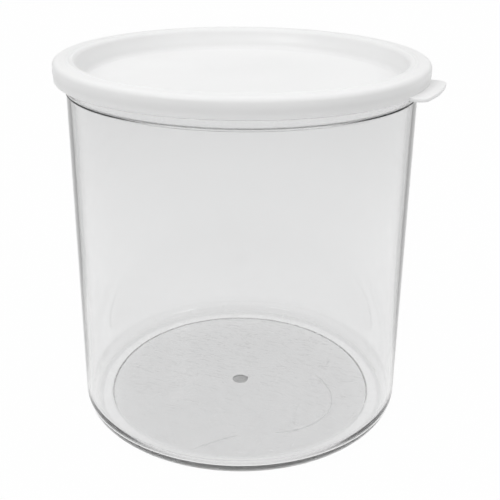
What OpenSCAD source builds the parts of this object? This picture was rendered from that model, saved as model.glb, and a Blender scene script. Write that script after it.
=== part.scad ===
// Round dough proofing container: a clear moulded crock and its milky snap lid.
// Origin: centre of the surface the foot stands on, +Z up through the mouth, pull tab towards +X.
// All sizes are millimetres and degrees.

/* [Container] */
// Outside diameter of the wall where it meets the lip band
body_d = 154.4; // [110:0.2:240]
// Height from the surface the foot stands on to the rim
body_h = 165; // [60:1:300]
// Thickness of the side wall
wall = 2.5; // [1.8:0.1:4]
// Taper of the side wall from the vertical
draft = 0.6; // [0:0.1:2]
// Outside radius of the corner between side wall and base
corner_r = 7.4; // [7:0.1:14]

/* [Base] */
// Thickness of the floor
floor_t = 2.6; // [1.8:0.1:5]
// Height of the foot ring below the floor
foot_h = 1.6; // [1:0.1:4]
// Width of the flat that the foot ring stands on
foot_w = 6.2; // [3:0.1:15]
// Radius on the inner edge of the foot ring
foot_edge = 0.8; // [0.2:0.1:1]
// Diameter of the moulding gate mark in the middle of the floor
gate_d = 7.5; // [3:0.1:16]
// Height of the gate mark above the floor, and its depth below
gate_rise = 0.8; // [0.2:0.1:1.2]

/* [Lip] */
// Height of the thicker band around the mouth
band_h = 12.4; // [9:0.1:20]
// How far the band stands out from the side wall
band_step = 0.9; // [0.3:0.1:2]
// Height of the snap bead at the top of the band
bead_h = 5.1; // [4:0.1:7]
// How far the snap bead stands out from the band
bead_step = 1.5; // [0.6:0.1:2.2]
// Radius over the top of the snap bead
lip_round = 2.4; // [1:0.1:2.6]
// Radius on the inner edge of the rim
rim_edge = 0.6; // [0.2:0.1:0.8]

/* [Lid] */
// Thickness of the panel and of the plug wall that drops into the mouth
lid_t = 1.6; // [1:0.1:2.4]
// Thickness of the skirt outside the lip
skirt_t = 1.7; // [1.2:0.1:2.6]
// Thickness of the crest over the rim
crest_t = 2; // [1.2:0.1:3]
// Height of the snap bead inside the lower edge of the skirt
snap_h = 1.6; // [1.2:0.1:3]
// Radius over the inner edge of the crest
crest_in_r = 2.2; // [1.8:0.1:3]
// Depth of the stacking recess, from the top of the crest to the panel
recess_h = 10.1; // [8.6:0.1:14]
// Depth of the ledge round the recess, below the top of the crest
ledge_drop = 5.1; // [4.4:0.1:5.6]
// Width of the ledge round the recess
ledge_w = 0.9; // [0.3:0.1:2]
// Slope of the plug wall from the vertical
plug_draft = 6; // [0:1:10]
// Radius of the corner between plug wall and panel
seat_fillet = 1.8; // [0.6:0.1:2.4]
// How far the lower edge of the skirt lies back from the skirt above it
hem_step = 0.2; // [0.1:0.1:0.5]

/* [Pull tab] */
// How far the pull tab reaches out from the skirt
tab_reach = 6.3; // [5.5:0.1:20]
// Width of the pull tab, along its outer edge
tab_w = 41; // [16:1:80]
// Radius of the corners of the pull tab
tab_corner = 5; // [1:0.5:5]
// Thickness of the pull tab, and height of the lower edge of the skirt that it grows from
tab_t = 1.5; // [0.8:0.1:2]

/* [Fits] */
// Gap between the lip's snap bead and the wall of the skirt
channel_gap = 1.2; // [0.6:0.1:2]
// Running gap by which the skirt's snap bead clears the lip's snap bead
bead_gap = 0.2; // [0.1:0.05:0.4]
// Gap between the two snap beads along Z when the lid is on
bead_seat = 0.3; // [0.1:0.1:0.6]
// Gap between the plug wall and the inside of the mouth
plug_gap = 0.45; // [0.2:0.05:1]
// Width by which the flat under the crest reaches past the flat of the rim
land_gap = 0.3; // [0.2:0.1:0.6]

/* [Hidden] */
$fn = 180;
arc_steps = 8;
taper = tan(draft);
plug_taper = tan(plug_draft);

// Container, from the foot up
band_z = body_h - band_h;
floor_z = foot_h + floor_t;
base_r = wall_r(corner_r);
foot_r = base_r - corner_r;
foot_in_r = foot_r - foot_w;
in_corner_r = corner_r - wall;
in_corner_z = floor_z + in_corner_r;
gate_r = gate_d / 2;

// Lip
band_r = wall_r(band_z) + band_step;
bead_r = band_r + bead_step;
bead_z = body_h - bead_h;
mouth_r = wall_r(body_h) - wall;
lip_slope = 0.7;

// Lid, from the channel over the lip inwards
crest_z = body_h + crest_t;
skirt_in_r = bead_r + channel_gap;
lid_r = skirt_in_r + skirt_t;
land_r = bead_r - lip_round + land_gap;
channel_round = skirt_in_r - land_r;
crest_round = lid_r - land_r;
snap_r = bead_r + bead_gap;
snap_z = bead_z - bead_seat;
snap_lead = 0.7;
skirt_z = snap_z - snap_h;
hem_r = lid_r - hem_step;
hem_z = skirt_z + tab_t;
plug_r = mouth_r - plug_gap;
plug_in_r = plug_r - lid_t;
crest_in_z = crest_z - crest_in_r;
ledge_z = crest_z - ledge_drop;
panel_z = crest_z - recess_h;
under_z = panel_z - lid_t;
seat_r = plug_in_r - ledge_w - (crest_in_z - panel_z) * plug_taper;
under_r = seat_r + lid_t;
under_fillet = seat_fillet + lid_t / 2;
tab_r = lid_r + tab_reach;
tab_root_r = hem_r - skirt_t / 2;
tab_angle = tab_w / tab_r * 90 / PI;
tab_corner_angle = tab_angle - asin(tab_corner / (tab_r - tab_corner));

// Outside radius of the side wall at height z
function wall_r(z) = body_d / 2 - (body_h - band_h - z) * taper;

// Points of an arc about (r, z), from angle a to angle b
function arc(r, z, radius, a, b) =
    [for (i = [0 : arc_steps]) let (t = a + (b - a) * i / arc_steps) [r + radius * cos(t), z + radius * sin(t)]];

// Points of the low dome of the gate mark, at height z, from its edge to the axis
function gate_dome(z) =
    [for (i = [0 : arc_steps]) let (t = 90 * i / arc_steps) [gate_r * cos(t), z + gate_rise * sin(t)]];

function reverse(points) = [for (i = [len(points) - 1 : -1 : 0]) points[i]];

// Section of the crock: under the floor, foot ring, corner, wall and lip, then back down inside
container_section = concat(
    reverse(gate_dome(foot_h)),
    [[foot_in_r - foot_edge, foot_h]],
    arc(foot_in_r + foot_edge, foot_edge, foot_edge, 180, 270),
    arc(foot_r, corner_r, corner_r, -90, -draft),
    [[wall_r(band_z), band_z]],
    [[band_r, band_z + band_step * lip_slope]],
    [[band_r, bead_z - bead_step * lip_slope]],
    [[bead_r, bead_z]],
    arc(bead_r - lip_round, body_h - lip_round, lip_round, 0, 90),
    arc(mouth_r + rim_edge, body_h - rim_edge, rim_edge, 90, 180),
    arc(wall_r(in_corner_z) - wall - in_corner_r, in_corner_z, in_corner_r, -draft, -90),
    gate_dome(floor_z)
);

// Section of the lid: under the panel, plug wall, channel over the lip and snap bead,
// then back up outside the skirt, over the crest and down into the stacking recess
lid_section = concat(
    [[0, under_z]],
    arc(under_r - under_fillet, under_z + under_fillet, under_fillet, -90, 0),
    [[under_r + (ledge_z - panel_z) * plug_taper, ledge_z - lid_t]],
    [[plug_r - (ledge_drop - crest_t) * plug_taper, ledge_z - lid_t + ledge_w]],
    [[plug_r, body_h]],
    arc(land_r, body_h - channel_round, channel_round, 90, 0),
    [[skirt_in_r, snap_z + snap_lead]],
    [[snap_r, snap_z]],
    [[snap_r, skirt_z + snap_lead]],
    [[skirt_in_r - hem_step, skirt_z]],
    [[hem_r - hem_step, skirt_z]],
    [[hem_r, skirt_z + hem_step]],
    [[hem_r, hem_z]],
    [[lid_r, hem_z + hem_step]],
    arc(land_r, crest_z - crest_round, crest_round, 0, 90),
    arc(plug_in_r + crest_in_r, crest_in_z, crest_in_r, 90, 180),
    [[plug_in_r - (crest_in_z - ledge_z) * plug_taper, ledge_z]],
    [[seat_r + (ledge_z - panel_z) * plug_taper, ledge_z - ledge_w / 3]],
    arc(seat_r - seat_fillet, panel_z + seat_fillet, seat_fillet, 0, -90),
    [[0, panel_z]]
);

// Outline of the pull tab in plan: its outer edge follows the skirt, its root lies inside the skirt's wall
tab_outline = concat(
    arc(0, 0, tab_root_r, tab_angle, -tab_angle),
    turned_corner(-tab_corner_angle, -tab_angle - 90, -tab_corner_angle),
    arc(0, 0, tab_r, -tab_corner_angle, tab_corner_angle),
    turned_corner(tab_corner_angle, tab_corner_angle, tab_angle + 90)
);

// A corner of the pull tab, whose centre lies at the given angle about the axis
function turned_corner(angle, a, b) =
    arc((tab_r - tab_corner) * cos(angle), (tab_r - tab_corner) * sin(angle), tab_corner, a, b);

// Clear crock, one moulding with its foot ring and lip
module container() {
    color([0.86, 0.88, 0.89, 0.35])
        rotate_extrude() polygon(container_section);
}

// Milky lid, one moulding with its skirt, recessed panel and pull tab
module lid() {
    color([0.93, 0.93, 0.92, 0.9]) {
        rotate_extrude() polygon(lid_section);
        pull_tab();
    }
}

// Flat tongue at the foot of the skirt, by which the lid is peeled off
module pull_tab() {
    translate([0, 0, skirt_z])
        linear_extrude(tab_t) polygon(tab_outline);
}

container();
lid();
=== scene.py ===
from math import asin, cos, degrees, pi, radians, sin, tan

import bmesh
import bpy
from mathutils import Matrix, Vector


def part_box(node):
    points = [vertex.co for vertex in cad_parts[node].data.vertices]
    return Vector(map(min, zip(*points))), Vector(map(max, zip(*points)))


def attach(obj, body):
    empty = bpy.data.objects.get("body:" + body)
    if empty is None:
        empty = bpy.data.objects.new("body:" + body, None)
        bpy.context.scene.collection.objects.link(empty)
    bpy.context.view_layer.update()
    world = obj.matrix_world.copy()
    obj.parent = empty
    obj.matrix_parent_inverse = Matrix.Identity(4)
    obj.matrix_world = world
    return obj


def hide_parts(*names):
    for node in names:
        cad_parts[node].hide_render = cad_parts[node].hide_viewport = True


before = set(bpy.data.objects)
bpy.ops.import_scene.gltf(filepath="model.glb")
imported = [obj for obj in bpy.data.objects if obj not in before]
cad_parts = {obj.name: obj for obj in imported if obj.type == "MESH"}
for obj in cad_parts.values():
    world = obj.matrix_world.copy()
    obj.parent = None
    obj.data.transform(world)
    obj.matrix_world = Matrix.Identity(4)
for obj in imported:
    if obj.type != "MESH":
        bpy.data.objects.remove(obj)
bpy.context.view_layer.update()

# The crock is a round pot moulded in one piece from clear, rigid plastic. Its slightly
# tapered wall stands on a foot ring, its floor bears the mark of the moulding gate, and
# its thicker lip has a bead for the lid. It is turned from one section.
mm = 0.001
around = 256
arc_steps = 10
smooth_angle = radians(35)
_, crock_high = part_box("container")
rim_z = crock_high.z
bead_r = crock_high.x

# Wall, floor and foot
wall = 2.5 * mm
draft_angle = 0.6
corner_r = 7.4 * mm
floor_z = 4.2 * mm
foot_w = 5.0 * mm
foot_h = 0.6 * mm
foot_slope = 1.5 * mm
gate_r = 3.75 * mm
gate_depth = 0.5 * mm
gate_rise = 0.12 * mm

# Lip: a thicker band whose lower edge is a small ridge and a rounded face, and a bead on top
band_h = 12.4 * mm
band_step = 0.9 * mm
band_round = 2.3 * mm
band_turn = 50
band_face_z = 155.2 * mm
ridge_r = 0.25 * mm
ridge_turn = 70
bead_h = 5.1 * mm
bead_step = 1.5 * mm
bead_slope = 0.7
lip_round = 2.4 * mm
rim_edge = 0.6 * mm

# Width of the ring between a curve and a flat or straight face, so that the face shades flat
guard = 0.4 * mm


def wall_r(z):
    """Outside radius of the tapered wall at height z."""
    return bead_r - bead_step - band_step - (rim_z - band_h - z) * tan(radians(draft_angle))


def arc(r, z, radius, a, b):
    """Points of an arc about (r, z), from angle a to angle b in degrees."""
    angles = [radians(a + (b - a) * i / arc_steps) for i in range(arc_steps + 1)]
    return [(r + radius * cos(angle), z + radius * sin(angle)) for angle in angles]


def gate_dome(z, rise):
    """Points of the low dome of the gate mark, from the axis to its edge."""
    angles = [pi / 2 * (1 - i / arc_steps) for i in range(1, arc_steps + 1)]
    return [(0, z + rise)] + [(gate_r * cos(angle), z + rise * sin(angle)) for angle in angles]


def foot_step(r):
    """Points of the soft step from the recess under the floor down to the foot's flat."""
    shares = [i / arc_steps for i in range(arc_steps + 1)]
    return [(r + foot_slope * (share - 0.5), foot_h * (1 + cos(pi * share)) / 2) for share in shares]


def turned(name, section):
    """Turns a section, which starts and ends on the axis, into a closed shell ring by ring."""
    bpy.ops.object.select_all(action="DESELECT")
    (_, pole_z), (r, z) = section[:2]
    bpy.ops.mesh.primitive_circle_add(vertices=around, radius=r, fill_type="TRIFAN", location=(0, 0, z))
    piece = bpy.context.object
    piece.name = name
    bpy.ops.object.mode_set(mode="EDIT")
    mesh = bmesh.from_edit_mesh(piece.data)
    centre = min(mesh.verts, key=lambda vertex: vertex.co.xy.length)
    bpy.ops.mesh.select_all(action="DESELECT")
    bpy.ops.mesh.select_mode(type="VERT")
    centre.select_set(True)
    bmesh.update_edit_mesh(piece.data)
    bpy.ops.transform.translate(value=(0, 0, pole_z - z))
    bpy.ops.mesh.select_all(action="INVERT")
    for next_r, next_z in section[2:-1]:
        bpy.ops.mesh.extrude_edges_move(TRANSFORM_OT_translate={"value": (0, 0, next_z - z)})
        bpy.ops.transform.resize(value=(next_r / r, next_r / r, 1), center_override=(0, 0, next_z))
        r, z = next_r, next_z
    bpy.ops.mesh.extrude_edges_move(TRANSFORM_OT_translate={"value": (0, 0, section[-1][1] - z)})
    bpy.ops.mesh.merge(type="CENTER")
    bpy.ops.mesh.select_all(action="SELECT")
    bpy.ops.mesh.normals_make_consistent(inside=False)
    bpy.ops.object.mode_set(mode="OBJECT")
    bpy.ops.object.transform_apply(location=True, rotation=True, scale=True)
    bpy.ops.object.shade_smooth_by_angle(angle=smooth_angle)
    return piece


foot_r = wall_r(corner_r) - corner_r
foot_in_r = foot_r - foot_w
band_z = rim_z - band_h
band_r = bead_r - bead_step
bead_z = rim_z - bead_h
mouth_r = wall_r(rim_z) - wall
in_corner_r = corner_r - wall
in_corner_z = floor_z + in_corner_r
in_foot_r = wall_r(in_corner_z) - wall - in_corner_r
crock_section = (
    gate_dome(foot_h, gate_depth)
    + [(gate_r + guard, foot_h), (foot_in_r - foot_slope, foot_h)]
    + foot_step(foot_in_r)
    + arc(foot_r, corner_r, corner_r, -90, -draft_angle)
    + [(wall_r(corner_r + guard), corner_r + guard), (wall_r(band_z), band_z)]
    + arc(wall_r(band_z) + ridge_r / 2, band_z + 1.5 * ridge_r, ridge_r, -ridge_turn, ridge_turn)
    + arc(band_r - band_round, band_face_z, band_round, -band_turn, 0)
    + [(band_r, bead_z - bead_step * bead_slope), (bead_r, bead_z)]
    + arc(bead_r - lip_round, rim_z - lip_round, lip_round, 0, 90)
    + arc(mouth_r + rim_edge, rim_z - rim_edge, rim_edge, 90, 180)
    + [(wall_r(in_corner_z + guard) - wall, in_corner_z + guard)]
    + arc(in_foot_r, in_corner_z, in_corner_r, -draft_angle, -90)
    + [(in_foot_r - guard, floor_z), (gate_r + guard, floor_z)]
    + gate_dome(floor_z, gate_rise)[::-1]
)
crock = turned("crock_shell", crock_section)


class Socket:
    """A shader socket that takes part in Python arithmetic by adding Math nodes."""

    def __init__(self, nodes, socket):
        self.nodes = nodes
        self.socket = socket

    def math(self, operation, *values):
        return self.nodes.add("ShaderNodeMath", {"operation": operation}, *values)

    def __add__(self, other):
        return self.math("ADD", self, other)

    def __radd__(self, other):
        return self.math("ADD", other, self)

    def __sub__(self, other):
        return self.math("SUBTRACT", self, other)

    def __rsub__(self, other):
        return self.math("SUBTRACT", other, self)

    def __mul__(self, other):
        return self.math("MULTIPLY", self, other)

    def __rmul__(self, other):
        return self.math("MULTIPLY", other, self)

    def __lt__(self, other):
        return self.math("LESS_THAN", self, other)

    def __gt__(self, other):
        return self.math("GREATER_THAN", self, other)

    def __abs__(self):
        return self.math("ABSOLUTE", self)

    def out(self, name):
        """Another output of the same node, by its name."""
        return Socket(self.nodes, self.socket.node.outputs[name])


class Nodes:
    """The node tree of one material or world."""

    def __init__(self, owner):
        owner.use_nodes = True
        self.tree = owner.node_tree
        self.tree.nodes.clear()

    def add(self, kind, settings=None, *values, **named):
        """Adds a node: its type, its settings, then the values or links of its sockets."""
        node = self.tree.nodes.new(kind)
        for key, value in (settings or {}).items():
            setattr(node, key, value)
        pairs = list(enumerate(values)) + [(key.replace("_", " "), value) for key, value in named.items()]
        for key, value in pairs:
            if isinstance(value, Socket):
                self.tree.links.new(value.socket, node.inputs[key])
            elif value is not None:
                node.inputs[key].default_value = value
        shown = [output for output in node.outputs if output.enabled]
        return Socket(self, shown[0]) if shown else node


def between(nodes, value, low, high, to_low, to_high):
    """Maps a value from one range to another, held at both ends."""
    return nodes.add("ShaderNodeMapRange", {"clamp": True}, value, low, high, to_low, to_high)


def blend(nodes, share, first, second):
    """Mixes two colours: a share of 0 gives the first, and 1 the second."""
    skipped = [None] * 5
    return nodes.add("ShaderNodeMix", {"data_type": "RGBA"}, share, *skipped, first, second)


def hairlines(nodes, place, fineness, turn, detail, roughness, faint, full):
    """Mask of fine scratches that run one way, where noise is between faint and full."""
    drawn = nodes.add("ShaderNodeMapping", None, place, Scale=fineness, Rotation=(0, 0, turn))
    noise = nodes.add(
        "ShaderNodeTexNoise", None, Vector=drawn, Scale=1.0, Detail=detail, Roughness=roughness
    )
    return between(nodes, noise, faint, full, 0.0, 1.0)


# Clear plastic, worn by use: hairlines, haze and two deeper scratches on the floor, and a
# foot that is rubbed dull. Painted shade makes it greyer in the floor and near the lip, and dark in the
# gate mark.
wall_tint = (0.88, 0.881, 0.882, 1)
# Painted shade: the grey tint that darkens the plastic in the floor and near the lip
painted_shade_tint = (0.76, 0.761, 0.762, 1)
# Painted shade: the near black tint of the gate mark
gate_shade_tint = (0.16, 0.16, 0.16, 1)
shade_share_in_floor, shade_share_at_lip = 0.75, 0.65
floor_reach = 0.5 * mm
crock_ior = 1.585
haze_roughness = 0.05
scuff_roughness = 0.3
gate_roughness = 0.12
foot_roughness = 0.3
ripple_height, scuff_depth = 0.6, 0.5

clear = bpy.data.materials.new("clear_rigid_plastic")
nodes = Nodes(clear)
place = nodes.add("ShaderNodeTexCoord").out("Object")
parts = nodes.add("ShaderNodeSeparateXYZ", None, place)
x, y, z = (parts.out(axis) for axis in "XYZ")
on_floor = (z < floor_z + floor_reach) * (z > floor_z - floor_reach)
along = hairlines(
    nodes, place, fineness=(160, 900, 160), turn=0.6, detail=3.0, roughness=0.55, faint=0.60, full=0.68
)
across = hairlines(
    nodes, place, fineness=(1000, 140, 160), turn=-0.3, detail=3.0, roughness=0.55, faint=0.62, full=0.70
)


def scratch(ring_x, ring_y, ring_r, width, low_x, high_x):
    """Mask of a scratch along an arc of a circle on the floor, between two values of x."""
    centre = (ring_x, ring_y, floor_z)
    away = nodes.add("ShaderNodeVectorMath", {"operation": "DISTANCE"}, place, centre).out("Value")
    return (abs(away - ring_r) < width) * (x > low_x) * (x < high_x)


right_scratch = scratch(
    ring_x=20 * mm, ring_y=-10 * mm, ring_r=30 * mm, width=0.35 * mm, low_x=34 * mm, high_x=60 * mm
)
front_scratch = scratch(
    ring_x=60 * mm, ring_y=-90 * mm, ring_r=60 * mm, width=0.3 * mm, low_x=0.0, high_x=20 * mm
)
scuffs = (along + across + right_scratch + front_scratch) * on_floor
haze_noise = nodes.add("ShaderNodeTexNoise", None, Vector=place, Scale=38.0, Detail=4.0, Roughness=0.6)
haze = between(nodes, haze_noise, low=0.45, high=0.75, to_low=0.0, to_high=haze_roughness) * on_floor
from_axis = nodes.add("ShaderNodeCombineXYZ", None, x, y, 0.0)
radius = nodes.add("ShaderNodeVectorMath", {"operation": "LENGTH"}, from_axis).out("Value")
# The gate mark: it is made rougher, and it is painted dark as painted shade
gate_mark_and_shade = (radius < gate_r) * (z < floor_z - gate_rise)
# Painted shade: shares of the grey tint, darkening the plastic towards the floor and towards the lip
shade_in_floor = between(nodes, z, low=2.5 * mm, high=12 * mm, to_low=shade_share_in_floor, to_high=0.0)
shade_near_lip = between(nodes, z, low=90 * mm, high=155 * mm, to_low=0.0, to_high=shade_share_at_lip)
foot_wear = between(nodes, z, low=0.5 * mm, high=4 * mm, to_low=foot_roughness, to_high=0.0)
ripple = nodes.add("ShaderNodeTexNoise", None, Vector=place, Scale=9.0, Detail=2.0)
relief = ripple * ripple_height - scuffs * scuff_depth
tint_with_shade = blend(nodes, shade_in_floor + shade_near_lip, wall_tint, painted_shade_tint)
# Its colour carries the painted shade of the floor, the lip and the gate mark
surface = nodes.add(
    "ShaderNodeBsdfPrincipled", None,
    Base_Color=blend(nodes, gate_mark_and_shade, tint_with_shade, gate_shade_tint),
    Roughness=haze + scuffs * scuff_roughness + gate_mark_and_shade * gate_roughness + foot_wear,
    IOR=crock_ior,
    Transmission_Weight=1.0,
    Normal=nodes.add("ShaderNodeBump", None, Strength=0.25, Distance=0.6 * mm, Height=relief),
)
nodes.add("ShaderNodeOutputMaterial", None, surface)
crock.data.materials.append(clear)
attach(crock, "crock")
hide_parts("container")

# The lid is moulded in one piece from milky, bendy plastic. A channel under its crest snaps
# over the lip of the crock, its panel is sunk so that the next crock can stand in it, and
# a flat tab grows from the foot of its skirt.
lid_low, lid_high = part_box("lid")
crest_z = lid_high.z
lid_r = lid_high.y
tab_r = lid_high.x
under_z = lid_low.z

# Plug wall inside the mouth, ledge and sunk panel
lid_t = 1.6 * mm
plug_gap = 0.45 * mm
plug_taper = tan(radians(6))
ledge_drop = 5.1 * mm
ledge_w = 0.9 * mm
ledge_edge = ledge_w / 3
seat_fillet = 3.0 * mm
seat_slope = 0.5 * mm
seat_turn = 10
under_step = 1.3 * mm

# Channel over the lip, crest and its low bead
seat_gap = 0.05 * mm
land_gap = 0.3 * mm
crest_drop = 0.4 * mm
crest_round = 2.2 * mm
crest_in_r = 2.2 * mm
crest_in_turn = 165
crest_bead_r = 75.9 * mm
crest_bead_w = 1.1 * mm

# Skirt, its snap bead and its hem
skirt_t = 1.7 * mm
snap_gap = 0.2 * mm
snap_seat = 0.3 * mm
snap_h = 1.6 * mm
snap_lead = 0.7 * mm
hem_step = 0.3 * mm
hem_round = 0.6 * mm
groove_z = 161.2 * mm

seat_z = rim_z + seat_gap
land_r = bead_r - lip_round + land_gap
skirt_in_r = lid_r - skirt_t
channel_round = skirt_in_r - land_r
crest_flat = crest_z - crest_drop
crest_in_z = crest_flat - crest_in_r
snap_r = bead_r + snap_gap
snap_z = bead_z - snap_seat
skirt_z = snap_z - snap_h
hem_r = lid_r - hem_step
plug_r = mouth_r - plug_gap
ledge_z = crest_z - ledge_drop
panel_z = under_z + lid_t
slope_r = plug_r - lid_t - ledge_w
seat_r = slope_r - seat_slope
under_r = plug_r - under_step
under_fillet = seat_fillet + lid_t / 2


def crest_bead():
    """Points of the low, soft bead along the inner edge of the crest."""
    shares = [i / arc_steps for i in range(-arc_steps, arc_steps + 1)]
    heights = [crest_flat + crest_drop * (1 + cos(pi * share)) / 2 for share in shares]
    return [(crest_bead_r - crest_bead_w * share, height) for share, height in zip(shares, heights)]


lid_section = (
    [(0, under_z)]
    + arc(under_r - under_fillet, under_z + under_fillet, under_fillet, -90, 0)
    + [(plug_r - (ledge_drop - crest_z + rim_z) * plug_taper, ledge_z - lid_t), (plug_r, seat_z)]
    + arc(land_r, seat_z - channel_round, channel_round, 90, 0)
    + [(skirt_in_r, snap_z + snap_lead), (snap_r, snap_z)]
    + [(snap_r, skirt_z + snap_lead), (skirt_in_r - hem_step, skirt_z)]
    + arc(hem_r - hem_round, skirt_z + hem_round, hem_round, -90, 0)
    + [(hem_r, groove_z), (lid_r, groove_z + 2 * hem_step)]
    + arc(lid_r - crest_round, crest_flat - crest_round, crest_round, 0, 90)
    + crest_bead()
    + arc(crest_bead_r - crest_bead_w, crest_in_z, crest_in_r, 90, crest_in_turn)[1:]
    + [(slope_r + ledge_edge, ledge_z + ledge_edge), (slope_r, ledge_z)]
    + arc(seat_r - seat_fillet, panel_z + seat_fillet, seat_fillet, -seat_turn, -90)
    + [(0, panel_z)]
)
lid = turned("lid_shell", lid_section)

# The pull tab is a flat tongue with rounded corners, one with the foot of the skirt
tab_t = 1.5 * mm
tab_w = 41 * mm
tab_corner = 5 * mm
tab_edge = 0.3 * mm
edge_segments = 3
tab_root_r = hem_r - skirt_t / 2
tab_half = degrees(tab_w / tab_r / 2)
corner_turn = tab_half - degrees(asin(tab_corner / (tab_r - tab_corner)))
corner_x = (tab_r - tab_corner) * cos(radians(corner_turn))
corner_y = (tab_r - tab_corner) * sin(radians(corner_turn))
tab_outline = (
    arc(0, 0, tab_root_r, tab_half, -tab_half)
    + arc(corner_x, -corner_y, tab_corner, -tab_half - 90, -corner_turn)
    + arc(0, 0, tab_r, -corner_turn, corner_turn)[1:-1]
    + arc(corner_x, corner_y, tab_corner, corner_turn, tab_half + 90)
)
bpy.ops.object.select_all(action="DESELECT")
bpy.ops.mesh.primitive_circle_add(vertices=len(tab_outline), fill_type="NGON", location=(0, 0, 0))
tab = bpy.context.object
tab.name = "pull_tab"
bpy.ops.object.mode_set(mode="EDIT")
mesh = bmesh.from_edit_mesh(tab.data)
for corner, (tab_x, tab_y) in zip(mesh.verts, tab_outline):
    corner.co = (tab_x, tab_y, skirt_z)
bmesh.update_edit_mesh(tab.data)
bpy.ops.mesh.select_all(action="SELECT")
bpy.ops.mesh.extrude_region_move(TRANSFORM_OT_translate={"value": (0, 0, tab_t)})
bpy.ops.mesh.select_all(action="SELECT")
bpy.ops.mesh.normals_make_consistent(inside=False)

# Its upper and lower edges are rounded, apart from the two straight sides that start in the skirt
bpy.ops.mesh.select_mode(type="EDGE")
bpy.ops.mesh.select_all(action="DESELECT")
mesh = bmesh.from_edit_mesh(tab.data)
for edge in mesh.edges:
    start, end = (vertex.co for vertex in edge.verts)
    is_level = abs(start.z - end.z) < tab_t / 2
    edge.select_set(is_level and min(start.xy.length, end.xy.length) > tab_root_r + mm)
bmesh.update_edit_mesh(tab.data)
bpy.ops.mesh.bevel(offset=tab_edge, segments=edge_segments)
bpy.ops.object.mode_set(mode="OBJECT")
bpy.ops.object.select_all(action="DESELECT")
bpy.context.view_layer.objects.active = lid
lid.select_set(True)
join = lid.modifiers.new("grow_tab", "BOOLEAN")
join.operation = "UNION"
join.solver = "EXACT"
join.object = tab
bpy.ops.object.modifier_apply(modifier=join.name)
bpy.data.objects.remove(tab)
bpy.ops.object.shade_smooth_by_angle(angle=smooth_angle)

# Satin milky plastic: soft light spreads inside it, its skin is faintly uneven, and its
# tone wavers a little where the melt flowed
pale_tone = (0.875, 0.876, 0.875, 1)
paler_tone = (0.905, 0.906, 0.905, 1)
satin_low, satin_high = 0.34, 0.44
hair_roughness = 0.06
grain_height, hair_depth = 0.25, 0.2
lid_ior = 1.5
glow_share = 0.35
glow_reach = 2 * mm

milky = bpy.data.materials.new("milky_satin_plastic")
nodes = Nodes(milky)
place = nodes.add("ShaderNodeTexCoord").out("Object")
grain = nodes.add("ShaderNodeTexNoise", None, Vector=place, Scale=420.0, Detail=3.0, Roughness=0.5)
flow = nodes.add("ShaderNodeTexNoise", None, Vector=place, Scale=14.0, Detail=2.0, Roughness=0.5)
hairs = hairlines(
    nodes, place, fineness=(150, 1100, 150), turn=0.9, detail=2.0, roughness=0.5, faint=0.68, full=0.74
)
relief = grain * grain_height - hairs * hair_depth
tone = between(nodes, flow, low=0.35, high=0.65, to_low=0.0, to_high=1.0)
satin = between(nodes, grain, low=0.3, high=0.7, to_low=satin_low, to_high=satin_high)
surface = nodes.add(
    "ShaderNodeBsdfPrincipled", None,
    Base_Color=blend(nodes, tone, pale_tone, paler_tone),
    Roughness=satin + hairs * hair_roughness,
    IOR=lid_ior,
    Subsurface_Weight=glow_share,
    Subsurface_Radius=(1.0, 1.0, 1.0),
    Subsurface_Scale=glow_reach,
    Normal=nodes.add("ShaderNodeBump", None, Strength=0.2, Distance=0.3 * mm, Height=relief),
)
nodes.add("ShaderNodeOutputMaterial", None, surface)
lid.data.materials.append(milky)
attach(lid, "cover")
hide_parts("lid")

# The floor is a wide, plain sheet of white paper. It shows white and keeps a faint shadow,
# and the clear plastic shows and mirrors it as white too.
sheet_r = 3.0
sheet_grey = 0.7
white_share = 0.985
bpy.ops.object.select_all(action="DESELECT")
bpy.ops.mesh.primitive_circle_add(vertices=96, radius=sheet_r, fill_type="NGON", location=(0, 0, 0))
floor = bpy.context.object
floor.name = "studio_floor"
paper = bpy.data.materials.new("white_paper")
nodes = Nodes(paper)
ray = nodes.add("ShaderNodeLightPath")
clear_ray = ray.math("MAXIMUM", ray.out("Is Glossy Ray"), ray.out("Is Transmission Ray"))
white_part = (ray.out("Is Camera Ray") + clear_ray) * white_share
lit = nodes.add("ShaderNodeBsdfDiffuse", None, Color=(sheet_grey, sheet_grey, sheet_grey, 1))
white = nodes.add("ShaderNodeEmission", None, Color=(1, 1, 1, 1), Strength=1.0)
nodes.add("ShaderNodeOutputMaterial", None, nodes.add("ShaderNodeMixShader", None, white_part, lit, white))
floor.data.materials.append(paper)

# The light is soft studio light: a pale room that is brighter overhead, and two square
# soft boxes, the stronger at the left of the camera and the weaker at its right.
view_side = radians(24)


def soft_box(name, azimuth, elevation, distance, size, watts):
    """A square lamp that faces the crock; its azimuth runs to the right from the camera's side."""
    turn = azimuth - pi / 2 + view_side
    aim = Vector((0, 0, rim_z / 2))
    lamp = bpy.data.lights.new(name, "AREA")
    lamp.shape = "SQUARE"
    lamp.size = size
    lamp.energy = watts
    box = bpy.data.objects.new(name, lamp)
    bpy.context.collection.objects.link(box)
    towards = Vector((cos(turn) * cos(elevation), sin(turn) * cos(elevation), sin(elevation)))
    box.location = aim + distance * towards
    box.rotation_euler = (aim - box.location).to_track_quat("-Z", "Y").to_euler()


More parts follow.
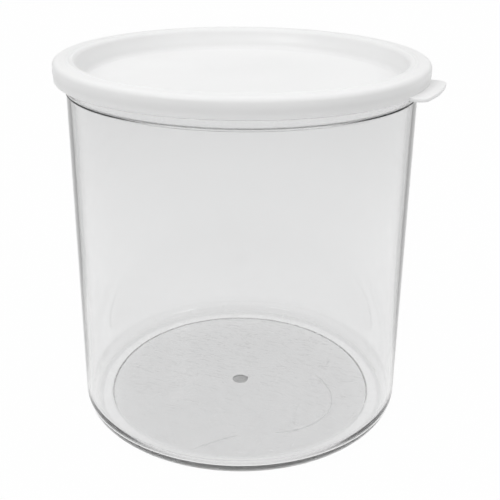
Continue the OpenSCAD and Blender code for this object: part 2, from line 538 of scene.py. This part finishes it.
soft_box("key_box", azimuth=radians(-40), elevation=radians(48), distance=1.3, size=0.35, watts=3)
soft_box("fill_box", azimuth=radians(55), elevation=radians(35), distance=1.5, size=0.45, watts=1.5)

# The room's light at the horizon and overhead, and the same as glossy surfaces mirror it
room_low, room_high, room_top = 0.24, 1.02, 0.85
mirror_low, mirror_high, mirror_top = 0.62, 0.95, 0.7
room = bpy.data.worlds.new("pale_room")
bpy.context.scene.world = room
nodes = Nodes(room)
ray = nodes.add("ShaderNodeLightPath")
direction = nodes.add("ShaderNodeTexCoord").out("Generated")
up = nodes.add("ShaderNodeSeparateXYZ", None, direction).out("Z")
lights = between(nodes, up, low=0.0, high=room_top, to_low=room_low, to_high=room_high)
mirrored = between(nodes, up, low=0.0, high=mirror_top, to_low=mirror_low, to_high=mirror_high)
shaded = lights + ray.out("Is Glossy Ray") * (mirrored - lights)
straight = ray.math("MAXIMUM", ray.out("Is Transmission Ray"), ray.out("Is Camera Ray"))
strength = shaded + straight * (1 - shaded)
background = nodes.add("ShaderNodeBackground", None, Color=(1, 1, 1, 1), Strength=strength)
nodes.add("ShaderNodeOutputWorld", None, background)

# The camera has the photograph's view: the crock from the front and a little above, with
# its tab to the right. Its optical axis meets the picture above the middle.
image_px = 500
focal_px = 884.4
optical_y_px = 200
pitch = radians(19.79)
yaw = radians(0.585)
roll = radians(0.59)
stand_off = 388.9 * mm
eye_z = 238.5 * mm
lens = bpy.data.cameras.new("photo_camera")
lens.lens = focal_px / image_px * lens.sensor_width
lens.shift_y = (optical_y_px - image_px / 2) / image_px
camera = bpy.data.objects.new("photo_camera", lens)
bpy.context.collection.objects.link(camera)
camera.location = (stand_off * sin(view_side), -stand_off * cos(view_side), eye_z)
turn = Matrix.Rotation(view_side - yaw, 3, "Z") @ Matrix.Rotation(pi / 2 - pitch, 3, "X")
camera.rotation_euler = (turn @ Matrix.Rotation(roll, 3, "Z")).to_euler()
bpy.context.scene.camera = camera
bpy.context.scene.view_settings.view_transform = "Standard"
